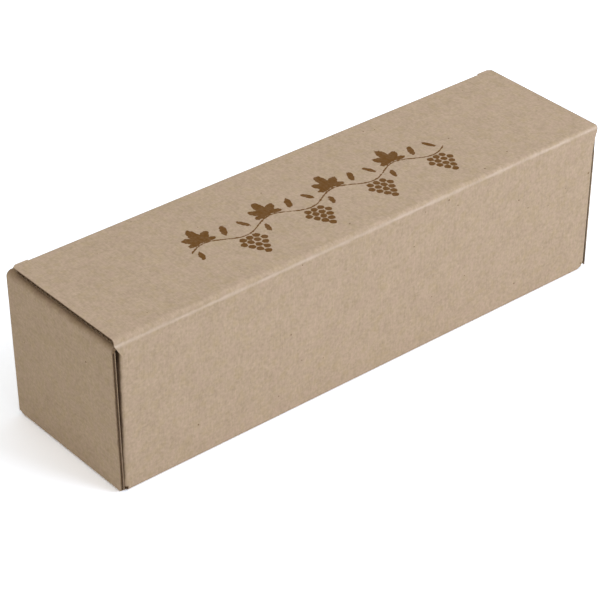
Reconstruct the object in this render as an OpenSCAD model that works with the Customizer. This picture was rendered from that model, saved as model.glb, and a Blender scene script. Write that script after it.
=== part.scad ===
// Bottle carton: a one-piece, roll-end, tuck-top mailer folded from single-wall corrugated board.
// X runs along the carton, the hinged long wall is at -Y, the tucked one at +Y, and Z = 0 is the floor.
// Every panel is three plies of paper: an outer liner, a fluted medium and an inner liner.

/* [Carton] */
// Length of the lid, from raw edge to raw edge
carton_l = 345; // [260:5:450]
// Width over both long walls
carton_w = 92.6; // [80:0.2:130]
// Height from the floor to the top of the lid
carton_h = 96.6; // [80:0.2:130]

/* [Board] */
// Thickness of the whole board
board_t = 2.2; // [1.6:0.1:3.2]
// Thickness of each liner
liner_t = 0.25; // [0.2:0.05:0.4]
// Thickness of the fluted paper
medium_t = 0.2; // [0.15:0.05:0.3]
// Distance between two flute crests
flute_pitch = 4.4; // [3:0.1:8]

/* [Tuck flap] */
// Depth of the tuck flap below the top of the lid
tuck_depth = 26; // [18:1:36]
// Radius of the flap's two free corners
tuck_corner_r = 12; // [4:1:14]
// Space between each end of the flap and the end wall
tuck_end_gap = 2; // [1:0.5:6]

/* [Ends] */
// How far the lid reaches past the foot of each end wall
lid_overhang = 1; // [0.5:0.1:2]
// Outward lean of the left end wall, in degrees
left_lean = 1.5; // [0:0.1:2]
// Outward lean of the right end wall, in degrees
right_lean = 0; // [0:0.1:2]
// Roundness of the roll over each end wall: 0 folds it sharp, and 1 makes it half round
roll_roundness = 0.85; // [0:0.05:0.9]
// Reach of a corner flap behind its end wall
corner_reach = 36; // [20:1:36]
// Slant of a corner flap's free end at its two corners
corner_taper = 4; // [1:0.5:8]
// Width of a lock tab
tab_w = 16; // [10:1:20]

/* [Lid] */
// How much narrower the lid is at each front corner
lid_corner_cut = 2.4; // [0:0.2:4]
// How far back along the lid's end that corner starts
lid_corner_run = 6; // [2:1:12]
// Height at which the stiff creases hold the lid over the walls
lid_rise = 1.8; // [0.3:0.1:3]

/* [Clearances] */
// Space between two layers of board that lie together
layer_gap = 0.3; // [0.2:0.05:0.6]
// Space around a lock tab in its slot
slot_gap = 0.3; // [0.2:0.05:0.6]
// Height of a lock tab's tip above the floor
tab_lift = 0.5; // [0.3:0.1:1.5]
// Slit left in a moving crease, at the outer face
crease_gap = 0.2; // [0.1:0.05:0.4]
// Space between the tuck flap's crease and the front wall
tuck_gap = 0.5; // [0.4:0.1:1]

/* [Hidden] */
$fn = 96;

// Heights of the three plies above a panel's inner face
inner_ply = [0, liner_t];
core_ply = [liner_t, board_t - liner_t];
outer_ply = [board_t - liner_t, board_t];

// One period of the medium is this many straight runs
flute_runs = 8;
// A value over 1 flattens the crests, where the medium is glued to the liners
flute_fullness = 1.2;
flute_rise = (board_t - 2 * liner_t - medium_t) / 2;

square_fold = 90;
cut_past = 1; // a cutter passes the face it cuts by this much
crease_lap = medium_t; // the crushed board of a crease runs on this far into its panel

// Along X, from the outside of an end to the inside
end_out = carton_l / 2 - lid_overhang;
wall_end = end_out - board_t - layer_gap;
wall_half = wall_end - board_t;
return_out = wall_half - layer_gap;
return_in = return_out - board_t;
base_half = end_out - board_t;
roll_inner = roll_roundness * (base_half - return_out) / 2; // inner radius of the two creases of a roll
roll_end = return_out + roll_inner;
flap_half = return_in - tuck_end_gap;

// Across Y
wall_in = carton_w / 2 - board_t;
return_half = wall_in - layer_gap;
lid_fold_y = wall_in - tuck_gap - board_t;
ear_past_fold = 0.8 * board_t; // the lid's raw front edge over the end walls

// Up Z
lid_under = carton_h - board_t;
roll_top = lid_under - lid_rise;
return_top = roll_top - board_t - roll_inner;
flap_low = board_t + layer_gap;
flap_high = return_top - layer_gap;

// The lid swings about its rear crease, so the flap leans in enough for its free edge to pass the front wall
hinge_offset = board_t * (1 - cos(square_fold / 2));
hinge_reach = lid_fold_y + board_t + carton_w / 2 - hinge_offset;
lean_margin = 1;
tuck_lean = asin(tuck_depth / (2 * hinge_reach)) + lean_margin;
crease_slit = asin(crease_gap / board_t);
hinge_share = square_fold / 2;
tuck_share = (square_fold + tuck_lean) / 2;
tuck_fall = tuck_depth - board_t;

tab_half_pitch = carton_w / 4;
kraft = [0.71, 0.62, 0.51];
kraft_core = [0.62, 0.52, 0.40];

// ---- The medium ----

function flute_count(run) = max(1, round(run / flute_pitch));
function flute_height(turn) = flute_rise * max(-1, min(1, flute_fullness * cos(turn)));
function flute_line(run) = let (n = flute_count(run) * flute_runs, step = run / n)
    concat(
        [[-run / 2, flute_rise]],
        [for (i = [0 : n - 1]) [-run / 2 + (i + 0.5) * step, flute_height((i + 0.5) * 360 / flute_runs)]],
        [[run / 2, flute_rise]]
    );
function run_normal(a, b) = let (d = b - a) [-d[1], d[0]] / norm(d);
function side_of(line, side) = [
    for (i = [0 : len(line) - 1])
        let (
            before = run_normal(line[max(i - 1, 0)], line[max(i, 1)]),
            after = run_normal(line[min(i, len(line) - 2)], line[min(i + 1, len(line) - 1)])
        )
        line[i] + side * medium_t / 2 * (before + after) / (1 + before * after)
];
function reversed(list) = [for (i = [len(list) - 1 : -1 : 0]) list[i]];

// Flutes run along X over a length a, side by side across Y over a width b
module medium(a, b) {
    line = flute_line(b);
    translate([-a / 2, 0, board_t / 2])
        rotate([90, 0, 90])
            linear_extrude(height = a)
                polygon(concat(side_of(line, 1), reversed(side_of(line, -1))));
}

// ---- One ply, flat or bent. A panel's inner face is at Z = 0 and its outer face at Z = board_t ----

module sheet(a, b, ply) {
    translate([-a / 2, -b / 2, ply[0]])
        cube([a, b, ply[1] - ply[0]]);
}

// A crease along X at the origin, bent from straight up towards +Y. Its ply can run on into the panel by a lap,
// and its inner face can be round
module bend(length, ply, turn, lap = crease_lap, inner = 0) {
    translate([0, 0, -inner])
        rotate([0, -90, 0])
            rotate_extrude(angle = turn)
                translate([ply[0] + inner, -length / 2])
                    square([ply[1] - ply[0], length]);
    if (lap > 0)
        translate([-length / 2, -lap, ply[0]])
            cube([length, lap, ply[1] - ply[0]]);
}

module bend_towards_x(length, ply, turn, inner = 0) {
    rotate([0, 0, -90])
        bend(length, ply, turn, 0, inner);
}

module outlined(ply) {
    translate([0, 0, ply[0]])
        linear_extrude(height = ply[1] - ply[0])
            children();
}

// ---- Base ----

module in_base() {
    translate([0, 0, board_t])
        rotate([180, 0, 0])
            children();
}

module slots() {
    for (x = [-1, 1], y = [-1, 1])
        translate([x * (return_out + return_in) / 2, y * tab_half_pitch, board_t / 2])
            cube([board_t + 2 * slot_gap, tab_w + 2 * slot_gap, board_t + 2 * cut_past], center = true);
}

module base_liner(ply) {
    color(kraft)
        difference() {
            in_base() sheet(2 * base_half, 2 * wall_in, ply);
            slots();
        }
}

module base_outer_liner() base_liner(outer_ply);
module base_inner_liner() base_liner(inner_ply);
module base_fluting() {
    color(kraft_core)
        difference() {
            in_base() medium(2 * base_half, 2 * wall_in);
            slots();
        }
}

// ---- Rear wall: its foot is creased to the base, its head to the lid ----

module in_rear() {
    translate([0, -wall_in, carton_h / 2])
        rotate([90, 0, 0])
            children();
}

module rear_creases(ply) {
    rise = carton_h - 2 * board_t;
    translate([0, rise / 2, 0])
        bend(2 * wall_half, ply, hinge_share);
    mirror([0, 1, 0])
        translate([0, rise / 2, 0])
            bend(2 * wall_half, ply, square_fold);
}

module rear_wall_outer_liner() {
    color(kraft) in_rear() {
        sheet(2 * wall_half, carton_h - 2 * board_t, outer_ply);
        rear_creases(outer_ply);
    }
}
module rear_wall_inner_liner() {
    color(kraft) in_rear() sheet(2 * wall_half, carton_h - 2 * board_t, inner_ply);
}
module rear_wall_fluting() {
    color(kraft_core) in_rear() {
        medium(2 * wall_half, carton_h - 2 * board_t);
        rear_creases(core_ply);
    }
}

// ---- Front wall: a raw edge at the top ----

module in_front() {
    translate([0, wall_in, (roll_top + board_t) / 2])
        rotate([-90, 0, 0])
            children();
}

module front_crease(ply) {
    translate([0, (roll_top - board_t) / 2, 0])
        bend(2 * wall_half, ply, square_fold);
}

module front_wall_outer_liner() {
    color(kraft) in_front() {
        sheet(2 * wall_half, roll_top - board_t, outer_ply);
        front_crease(outer_ply);
    }
}
module front_wall_inner_liner() {
    color(kraft) in_front() sheet(2 * wall_half, roll_top - board_t, inner_ply);
}
module front_wall_fluting() {
    color(kraft_core) in_front() {
        medium(2 * wall_half, roll_top - board_t);
        front_crease(core_ply);
    }
}

// ---- End walls: drawn for the left end, mirrored for the right. Flutes stand upright ----

function end_rise(lean) = (return_top - board_t - roll_inner * sin(lean)) / cos(lean);

module in_end(lean) {
    translate([-base_half, 0, board_t])
        rotate([0, -square_fold - lean, 0])
            children();
}

module end_crease(lean, ply) {
    mirror([1, 0, 0])
        bend_towards_x(2 * wall_in, ply, square_fold - lean);
}

module end_outer_liner(lean) {
    color(kraft) in_end(lean) {
        translate([end_rise(lean) / 2, 0, 0])
            sheet(end_rise(lean), carton_w, outer_ply);
        end_crease(lean, outer_ply);
    }
}
module end_inner_liner(lean) {
    color(kraft) in_end(lean)
        translate([end_rise(lean) / 2, 0, 0])
            sheet(end_rise(lean), carton_w, inner_ply);
}
module end_fluting(lean) {
    color(kraft_core) in_end(lean) {
        translate([end_rise(lean) / 2, 0, 0])
            medium(end_rise(lean), carton_w);
        end_crease(lean, core_ply);
    }
}

module left_end_outer_liner() end_outer_liner(left_lean);
module left_end_fluting() end_fluting(left_lean);
module left_end_inner_liner() end_inner_liner(left_lean);
module right_end_outer_liner() mirror([1, 0, 0]) end_outer_liner(right_lean);
module right_end_fluting() mirror([1, 0, 0]) end_fluting(right_lean);
module right_end_inner_liner() mirror([1, 0, 0]) end_inner_liner(right_lean);

// ---- Roll-over strips: from the head of an end wall over the corner flaps to its return panel ----

function roll_start(lean) = base_half + end_rise(lean) * sin(lean) - roll_inner * cos(lean);

module in_roll(lean) {
    translate([-(roll_start(lean) + roll_end) / 2, 0, roll_top - board_t])
        children();
}

// Room for the heads of the long walls
module roll_notches(lean) {
    reach = (roll_start(lean) - roll_end) / 2;
    inset = wall_half + layer_gap - roll_end;
    if (inset > 0)
        for (y = [-1, 1])
            translate([reach, y * carton_w / 2, board_t / 2])
                cube([2 * inset, 2 * (carton_w / 2 - return_half), board_t + 2 * cut_past], center = true);
}

module roll_creases(lean, ply) {
    reach = (roll_start(lean) - roll_end) / 2;
    mirror([1, 0, 0])
        translate([reach, 0, 0])
            bend_towards_x(carton_w, ply, square_fold + lean, roll_inner);
    translate([reach, 0, 0])
        bend_towards_x(2 * return_half, ply, square_fold, roll_inner);
}

module roll_flat(lean, ply) {
    difference() {
        sheet(roll_start(lean) - roll_end, carton_w, ply);
        roll_notches(lean);
    }
}

module roll_outer_liner(lean) {
    color(kraft) in_roll(lean) {
        roll_flat(lean, outer_ply);
        roll_creases(lean, outer_ply);
    }
}
module roll_inner_liner(lean) {
    color(kraft) in_roll(lean) roll_flat(lean, inner_ply);
}
module roll_fluting(lean) {
    color(kraft_core) in_roll(lean) {
        difference() {
            medium(roll_start(lean) - roll_end, carton_w);
            roll_notches(lean);
        }
        roll_creases(lean, core_ply);
    }
}

module left_roll_outer_liner() roll_outer_liner(left_lean);
module left_roll_fluting() roll_fluting(left_lean);
module left_roll_inner_liner() roll_inner_liner(left_lean);
module right_roll_outer_liner() mirror([1, 0, 0]) roll_outer_liner(right_lean);
module right_roll_fluting() mirror([1, 0, 0]) roll_fluting(right_lean);
module right_roll_inner_liner() mirror([1, 0, 0]) roll_inner_liner(right_lean);

// ---- Return panels: down inside the end wall, with two lock tabs through the base ----

module in_return() {
    translate([-return_out, 0, return_top])
        rotate([0, 90, 0])
            children();
}

module return_outline() {
    foot = return_top - flap_low;
    tip = return_top - tab_lift;
    near = tab_half_pitch - tab_w / 2;
    far = tab_half_pitch + tab_w / 2;
    polygon([
        [0, -return_half], [foot, -return_half],
        [foot, -far], [tip, -far], [tip, -near], [foot, -near],
        [foot, near], [tip, near], [tip, far], [foot, far],
        [foot, return_half], [0, return_half],
    ]);
}

module return_liner(ply) {
    color(kraft) in_return() outlined(ply) return_outline();
}
module return_fluting() {
    fall = return_top - tab_lift;
    color(kraft_core) in_return()
        intersection() {
            translate([fall / 2, 0, 0])
                medium(fall, 2 * return_half);
            outlined([0, board_t]) return_outline();
        }
}

module left_return_outer_liner() return_liner(outer_ply);
module left_return_fluting() return_fluting();
module left_return_inner_liner() return_liner(inner_ply);
module right_return_outer_liner() mirror([1, 0, 0]) return_liner(outer_ply);
module right_return_fluting() mirror([1, 0, 0]) return_fluting();
module right_return_inner_liner() mirror([1, 0, 0]) return_liner(inner_ply);

// ---- Corner flaps: drawn for the rear left corner. Flutes run level ----

module in_corner() {
    translate([-wall_half, -wall_in, (flap_low + flap_high) / 2])
        rotate([0, -90, 0])
            rotate([0, 0, -90])
                children();
}

module corner_outline() {
    half = (flap_high - flap_low) / 2;
    polygon([
        [0, -half], [0, half],
        [-corner_reach, half - corner_taper], [-corner_reach, -half + corner_taper],
    ]);
}

module corner_crease(ply) {
    bend_towards_x(flap_high - flap_low, ply, square_fold);
}

module corner_outer_liner() {
    color(kraft) in_corner() {
        outlined(outer_ply) corner_outline();
        corner_crease(outer_ply);
    }
}
module corner_inner_liner() {
    color(kraft) in_corner() outlined(inner_ply) corner_outline();
}
module corner_fluting() {
    color(kraft_core) in_corner() {
        intersection() {
            translate([-corner_reach / 2, 0, 0])
                medium(corner_reach, flap_high - flap_low);
            outlined([0, board_t]) corner_outline();
        }
        corner_crease(core_ply);
    }
}

module rear_left_flap_outer_liner() corner_outer_liner();
module rear_left_flap_fluting() corner_fluting();
module rear_left_flap_inner_liner() corner_inner_liner();
module rear_right_flap_outer_liner() mirror([1, 0, 0]) corner_outer_liner();
module rear_right_flap_fluting() mirror([1, 0, 0]) corner_fluting();
module rear_right_flap_inner_liner() mirror([1, 0, 0]) corner_inner_liner();
module front_left_flap_outer_liner() mirror([0, 1, 0]) corner_outer_liner();
module front_left_flap_fluting() mirror([0, 1, 0]) corner_fluting();
module front_left_flap_inner_liner() mirror([0, 1, 0]) corner_inner_liner();
module front_right_flap_outer_liner() mirror([1, 0, 0]) mirror([0, 1, 0]) corner_outer_liner();
module front_right_flap_fluting() mirror([1, 0, 0]) mirror([0, 1, 0]) corner_fluting();
module front_right_flap_inner_liner() mirror([1, 0, 0]) mirror([0, 1, 0]) corner_inner_liner();

// ---- Lid: half of the rear crease, half of the front crease, raw edges at both ends ----
// The rear crease ends over the folds of the rear corner flaps, and past it the lid is slit free

module in_lid() {
    translate([0, (lid_fold_y - wall_in) / 2, lid_under])
        children();
}

// The front crease is only as long as the flap, and past it the board ends in a raw edge
module lid_outline() {
    rear = -(lid_fold_y + wall_in) / 2;
    fold = -rear;
    ear = fold + ear_past_fold;
    end = carton_l / 2;
    polygon([
        [-end, rear], [end, rear], [end, ear - lid_corner_run], [end - lid_corner_cut, ear], [flap_half, ear],
        [flap_half, fold], [-flap_half, fold], [-flap_half, ear], [lid_corner_cut - end, ear], [-end, ear - lid_corner_run],
    ]);
}

module lid_creases(ply) {
    depth = lid_fold_y + wall_in;
    translate([0, depth / 2, 0])
        bend(2 * flap_half, ply, tuck_share - crease_slit);
    mirror([0, 1, 0])
        translate([0, depth / 2, 0])
            bend(2 * (wall_half + board_t), ply, hinge_share - crease_slit);
}

module lid_outer_liner() {
    color(kraft) in_lid() {
        outlined(outer_ply) lid_outline();
        lid_creases(outer_ply);
    }
}
module lid_inner_liner() {
    depth = lid_fold_y + wall_in;
    color(kraft) in_lid()
        intersection() {
            outlined(inner_ply) lid_outline();
            sheet(carton_l, depth - 2 * crease_gap + 2 * ear_past_fold, inner_ply);
            translate([0, crease_gap, 0])
                sheet(carton_l, depth + 2 * ear_past_fold, inner_ply);
        }
}
module lid_fluting() {
    depth = lid_fold_y + wall_in;
    color(kraft_core) in_lid() {
        intersection() {
            translate([0, ear_past_fold / 2, 0])
                medium(carton_l, depth + ear_past_fold);
            outlined([0, board_t]) lid_outline();
        }
        lid_creases(core_ply);
    }
}

// ---- Tuck flap ----

module in_tuck() {
    translate([0, lid_fold_y, lid_under])
        rotate([-tuck_lean, 0, 0])
            rotate([-90, 0, 0])
                children();
}

module tuck_outline() {
    translate([-flap_half, 0])
        square([2 * flap_half, tuck_fall - tuck_corner_r]);
    translate([-flap_half + tuck_corner_r, 0])
        square([2 * (flap_half - tuck_corner_r), tuck_fall]);
    for (x = [-1, 1])
        translate([x * (flap_half - tuck_corner_r), tuck_fall - tuck_corner_r])
            circle(r = tuck_corner_r);
}

module tuck_crease(ply) {
    mirror([0, 1, 0])
        bend(2 * flap_half, ply, tuck_share);
}

module tuck_flap_outer_liner() {
    color(kraft) in_tuck() {
        outlined(outer_ply) tuck_outline();
        tuck_crease(outer_ply);
    }
}
module tuck_flap_inner_liner() {
    color(kraft) in_tuck()
        intersection() {
            outlined(inner_ply) tuck_outline();
            translate([0, tuck_fall / 2 + crease_gap, 0])
                sheet(2 * flap_half, tuck_fall, inner_ply);
        }
}
module tuck_flap_fluting() {
    color(kraft_core) in_tuck() {
        intersection() {
            translate([0, tuck_fall / 2, 0])
                medium(2 * flap_half, tuck_fall);
            outlined([0, board_t]) tuck_outline();
        }
        tuck_crease(core_ply);
    }
}

base_outer_liner();
base_fluting();
base_inner_liner();
rear_wall_outer_liner();
rear_wall_fluting();
rear_wall_inner_liner();
front_wall_outer_liner();
front_wall_fluting();
front_wall_inner_liner();
left_end_outer_liner();
left_end_fluting();
left_end_inner_liner();
right_end_outer_liner();
right_end_fluting();
right_end_inner_liner();
left_roll_outer_liner();
left_roll_fluting();
left_roll_inner_liner();
right_roll_outer_liner();
right_roll_fluting();
right_roll_inner_liner();
left_return_outer_liner();
left_return_fluting();
left_return_inner_liner();
right_return_outer_liner();
right_return_fluting();
right_return_inner_liner();
rear_left_flap_outer_liner();
rear_left_flap_fluting();
rear_left_flap_inner_liner();
rear_right_flap_outer_liner();
rear_right_flap_fluting();
rear_right_flap_inner_liner();
front_left_flap_outer_liner();
front_left_flap_fluting();
front_left_flap_inner_liner();
front_right_flap_outer_liner();
front_right_flap_fluting();
front_right_flap_inner_liner();
lid_outer_liner();
lid_fluting();
lid_inner_liner();
tuck_flap_outer_liner();
tuck_flap_fluting();
tuck_flap_inner_liner();
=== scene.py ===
"""A folded kraft bottle carton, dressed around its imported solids.

The solids carry the construction: fifteen panels of three plies each. This script puts new sheets in place of
the plies that bend across a moving crease or show a raw edge, and gives every ply its paper.
"""

import logging
import math
from abc import ABC, abstractmethod
from collections.abc import Callable, Sequence
from dataclasses import dataclass, field, replace
from enum import Enum

import bmesh
import bpy
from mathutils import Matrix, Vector

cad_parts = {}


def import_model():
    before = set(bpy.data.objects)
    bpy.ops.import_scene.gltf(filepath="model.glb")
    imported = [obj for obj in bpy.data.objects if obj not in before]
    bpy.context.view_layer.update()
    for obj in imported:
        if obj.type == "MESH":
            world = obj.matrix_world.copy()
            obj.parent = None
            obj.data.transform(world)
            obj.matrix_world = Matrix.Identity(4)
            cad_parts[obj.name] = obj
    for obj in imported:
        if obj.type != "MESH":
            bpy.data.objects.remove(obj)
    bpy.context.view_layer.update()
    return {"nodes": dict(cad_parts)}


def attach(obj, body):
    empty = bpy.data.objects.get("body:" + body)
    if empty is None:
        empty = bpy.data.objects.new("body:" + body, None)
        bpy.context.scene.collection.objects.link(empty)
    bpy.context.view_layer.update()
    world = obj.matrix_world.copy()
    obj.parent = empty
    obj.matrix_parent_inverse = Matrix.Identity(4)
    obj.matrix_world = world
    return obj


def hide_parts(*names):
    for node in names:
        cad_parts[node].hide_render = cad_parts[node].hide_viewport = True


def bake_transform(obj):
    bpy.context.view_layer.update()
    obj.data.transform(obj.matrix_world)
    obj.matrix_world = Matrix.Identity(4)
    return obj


LOG = logging.getLogger("bottle_carton")
SHEET_PLACE = "unfolded"
MM = 0.001
SLIM = 0.01 * MM
QUARTER = math.pi / 2
X_AXIS = Vector((1, 0, 0))
Y_AXIS = Vector((0, 1, 0))
Z_AXIS = Vector((0, 0, 1))

Triple = tuple[float, float, float]
Tree = bpy.types.NodeTree
Socket = bpy.types.NodeSocket
Outputs = bpy.types.bpy_prop_collection
Value = Socket | float | tuple[float, ...]
Inputs = Sequence[Value] | dict[int | str, Value]
Test = Callable[[Vector], bool]
Outward = Callable[[Vector], Vector]
Ear = tuple[tuple[float, float], ...]


# ---------------------------------------------------------------- colours and nodes


def linear(hex_colour: str) -> tuple[float, float, float, float]:
    """Turn an sRGB hex colour to linear.

    Args:
        hex_colour: Six hex digits.

    Returns:
        Red, green, blue and an alpha of one.
    """
    channels = [int(hex_colour[i : i + 2], 16) / 255 for i in (0, 2, 4)]
    red, green, blue = (c / 12.92 if c <= 0.04045 else ((c + 0.055) / 1.055) ** 2.4 for c in channels)
    return red, green, blue, 1.0


def per_mm(size: float) -> float:
    """Give the texture scale at which one unit of a pattern is size millimetres long."""
    return 1 / (size * MM)


def add(tree: Tree, kind: str, inputs: Inputs = (), **settings: object) -> Outputs:
    """Add one shader node.

    Args:
        tree: The node tree it goes in.
        kind: The node's type, without the leading ShaderNode.
        inputs: Each input's value, or the socket that feeds it, in order or by name or number.
        **settings: The node's own properties.

    Returns:
        The new node's outputs.
    """
    node = tree.nodes.new("ShaderNode" + kind)
    for name, value in settings.items():
        setattr(node, name, value)
    for name, value in inputs.items() if isinstance(inputs, dict) else enumerate(inputs):
        if isinstance(value, Socket):
            tree.links.new(value, node.inputs[name])
        else:
            node.inputs[name].default_value = value
    return node.outputs


def blank(name: str) -> tuple[bpy.types.Material, Tree]:
    """Start a material.

    Args:
        name: What it is called.

    Returns:
        The material and its empty node tree.
    """
    material = bpy.data.materials.new(name)
    material.use_nodes = True
    material.node_tree.nodes.clear()
    return material, material.node_tree


class Lay(Enum):
    """How a panel lies in the carton: which axes run along its flutes, across them and through the board."""

    LEVEL = (0, 1, 2)
    LONG_WALL = (0, 2, 1)
    END_WALL = (2, 1, 0)
    CORNER_FLAP = (1, 2, 0)
    BENT = None

    def place(self, tree: Tree) -> Socket:
        """Give the paper's own coordinates, as if it lay flat with its flutes along X.

        Args:
            tree: The material's node tree.

        Returns:
            A vector socket. A bent sheet carries its unfolded place on its points.
        """
        if self is Lay.BENT:
            return add(tree, "Attribute", attribute_type="GEOMETRY", attribute_name=SHEET_PLACE)["Vector"]
        axes = add(tree, "SeparateXYZ", [add(tree, "TexCoord")["Object"]])
        return add(tree, "CombineXYZ", [axes[axis] for axis in self.value])[0]


# ---------------------------------------------------------------- finishes


@dataclass(frozen=True)
class Crease:
    """Paper changed along a fold or a cut: scuffed pale with a painted highlight, crushed brown with painted
    shade, or painted dark as shade inside a slot.

    Args:
        across: The axis of the unfolded sheet that crosses the fold.
        at: Where the fold is on that axis, in metres.
        reach: How far the change reaches, in metres.
        amount: How strong it is, from 0 to 1.
        tint: The colour that the paper turns to.
        slant: How far the fold climbs for each metre along the sheet.
        patchy: How uneven it is along the sheet, from 0 to 1.
        edge_mm: The size of the waves in its edge.
        patch_mm: The size of its patches.
    """

    across: int
    at: float
    reach: float
    amount: float
    # The default tint is pale: scuffed paper, partly a painted highlight where the crease catches the light.
    tint: str = "E6D3C2"
    slant: float = 0.0
    patchy: float = 0.85
    edge_mm: float = 7.0
    patch_mm: float = 18.0

    def worn(self, tree: Tree, place: Socket) -> Socket:
        """Draw the change, wear or painted light and shade, as nodes, uneven along the fold.

        Args:
            tree: The material's node tree.
            place: The paper's coordinates.

        Returns:
            A socket with how far the paper has changed, from 0 to 1.
        """
        split = add(tree, "SeparateXYZ", [place])
        side = add(tree, "Math", [split[0], -self.slant, split[self.across]], operation="MULTIPLY_ADD")[0]
        away = add(tree, "Math", [side, self.at], operation="SUBTRACT")[0]
        away = add(tree, "Math", [away], operation="ABSOLUTE")[0]
        waves = add(tree, "TexNoise", {"Vector": place, "Scale": per_mm(self.edge_mm), "Detail": 5.0})[0]
        near_edge, far_edge = 0.6 * self.reach, 1.3 * self.reach
        edge = add(tree, "MapRange", [waves, 0.3, 0.7, near_edge, far_edge])[0]
        patches = add(tree, "TexNoise", {"Vector": place, "Scale": per_mm(self.patch_mm), "Detail": 4.0})[0]
        least = (1.0 - self.patchy) * self.amount
        amount = add(tree, "MapRange", [patches, 0.35, 0.65, least, self.amount])[0]
        return add(tree, "MapRange", [away, 0.0, edge, amount, 0.0], interpolation_type="SMOOTHSTEP")[0]


@dataclass(frozen=True)
class VineBand:
    """A border of grape clusters and leaves on a winding stem, printed with a soft plate in one brown ink.

    The plate squeezes the ink out to a slightly ragged edge, and the kraft's high spots take less of it.

    Args:
        centre: The band's middle on the lid, in metres.
        top: The height of the printed face.
        ink: The ink's colour on kraft.
        repeat: The length of one repeat.
        repeats: How many there are.
        swing: How far the stem winds to either side; stem_half is half its width.
        berry: A berry's radius with half the gap round it.
        cluster: A cluster's share of the repeat, and its first row's height over the middle.
        rows: How many berries are in each of its rows.
        lobes: Each leaf lobe's share of the repeat, its height in millimetres, its turn in degrees, and its
            half length and half width in millimetres.
        ragged_mm: The size of the bumps in the ink's edge, which fades over bleed to either side.
        starved: How much of the ink the high spots take.
    """

    centre: tuple[float, float]
    top: float
    ink: str = "6C4716"
    repeat: float = 45.0 * MM
    repeats: int = 4
    swing: float = 4.0 * MM
    stem_half: float = 0.5 * MM
    berry: float = 2.2 * MM
    cluster: tuple[float, float] = (0.74, -7.0 * MM)
    rows: tuple[int, ...] = (3, 4, 3, 2, 1)
    lobes: tuple[tuple[float, ...], ...] = (
        (0.25, 12.0, 90.0, 7.8, 3.1),
        (0.17, 9.2, 140.0, 6.1, 2.8),
        (0.33, 9.2, 40.0, 6.1, 2.8),
        (0.145, 5.8, 188.0, 4.3, 2.0),
        (0.355, 5.8, -8.0, 4.3, 2.0),
        (0.60, 7.5, 65.0, 4.9, 1.9),
        (0.88, 6.2, 115.0, 4.3, 1.6),
        (0.06, -5.0, 250.0, 4.0, 1.6),
    )
    ragged_mm: float = 1.6
    bleed: float = 0.15 * MM
    starved: float = 0.84

    def inked(self, tree: Tree, place: Socket, mottle: Socket) -> Socket:
        """Draw the band as nodes.

        Args:
            tree: The material's node tree.
            place: The paper's coordinates.
            mottle: The paper's mottle, which leaves the ink thinner on its high spots.

        Returns:
            A socket that is near 1 on the ink and 0 off it.
        """
        length = self.repeat * self.repeats
        split = add(tree, "SeparateXYZ", [place])
        along = add(tree, "Math", [split[0], length / 2 - self.centre[0]], operation="ADD")[0]
        up = add(tree, "Math", [split[1], self.centre[1]], operation="SUBTRACT")[0]
        step = add(tree, "Math", [along, self.repeat, 0.0], operation="WRAP")[0]
        flat = add(tree, "CombineXYZ", [step, up, 0.0])[0]
        nearest = self.stem(tree, step, up)
        for shape in (*self.berries(tree, flat), *self.leaves(tree, flat)):
            nearest = add(tree, "Math", [nearest, shape], operation="MINIMUM")[0]
        bumps = add(tree, "TexNoise", {"Vector": place, "Scale": per_mm(self.ragged_mm), "Detail": 3.0})[0]
        rough = self.ragged_mm * MM
        edge = add(tree, "Math", [bumps, rough, nearest], operation="MULTIPLY_ADD")[0]
        fade = [edge, rough / 2 - self.bleed, rough / 2 + self.bleed, 1.0, 0.0]
        ink = add(tree, "MapRange", fade, interpolation_type="SMOOTHSTEP")[0]
        for socket, test, limit in (
            (along, "GREATER_THAN", 0.0),
            (along, "LESS_THAN", length),
            (split[2], "GREATER_THAN", self.top - 0.1 * MM),
        ):
            inside = add(tree, "Math", [socket, limit], operation=test)[0]
            ink = add(tree, "Math", [ink, inside], operation="MULTIPLY")[0]
        cover = add(tree, "MapRange", [mottle, 0.4, 0.9, 1.0, self.starved])[0]
        return add(tree, "Math", [ink, cover], operation="MULTIPLY")[0]

    def stem(self, tree: Tree, step: Socket, up: Socket) -> Socket:
        """Draw the winding stem.

        Args:
            tree: The material's node tree.
            step: How far along the repeat a point is.
            up: How far over the band's middle it is.

        Returns:
            A socket with its distance outside the stem.
        """
        turn = add(tree, "Math", [step, math.tau / self.repeat], operation="MULTIPLY")[0]
        wave = add(tree, "Math", [turn], operation="SINE")[0]
        rise = add(tree, "Math", [wave, -self.swing, up], operation="MULTIPLY_ADD")[0]
        away = add(tree, "Math", [rise], operation="ABSOLUTE")[0]
        return add(tree, "Math", [away, self.stem_half], operation="SUBTRACT")[0]

    def berries(self, tree: Tree, flat: Socket) -> list[Socket]:
        """Draw a cluster of berries that hangs from the stem's low bend.

        Args:
            tree: The material's node tree.
            flat: A point's place in the repeat.

        Returns:
            Sockets with its distance outside each berry.
        """
        pitch, drop, radius = 2.05 * self.berry, 1.78 * self.berry, 0.93 * self.berry
        shapes = []
        for row, count in enumerate(self.rows):
            for i in range(count):
                x = self.cluster[0] * self.repeat + (i - (count - 1) / 2) * pitch
                centre = (x, self.cluster[1] - row * drop, 0.0)
                gap = add(tree, "VectorMath", [flat, centre], operation="DISTANCE")["Value"]
                shapes.append(add(tree, "Math", [gap, radius], operation="SUBTRACT")[0])
        return shapes

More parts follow.
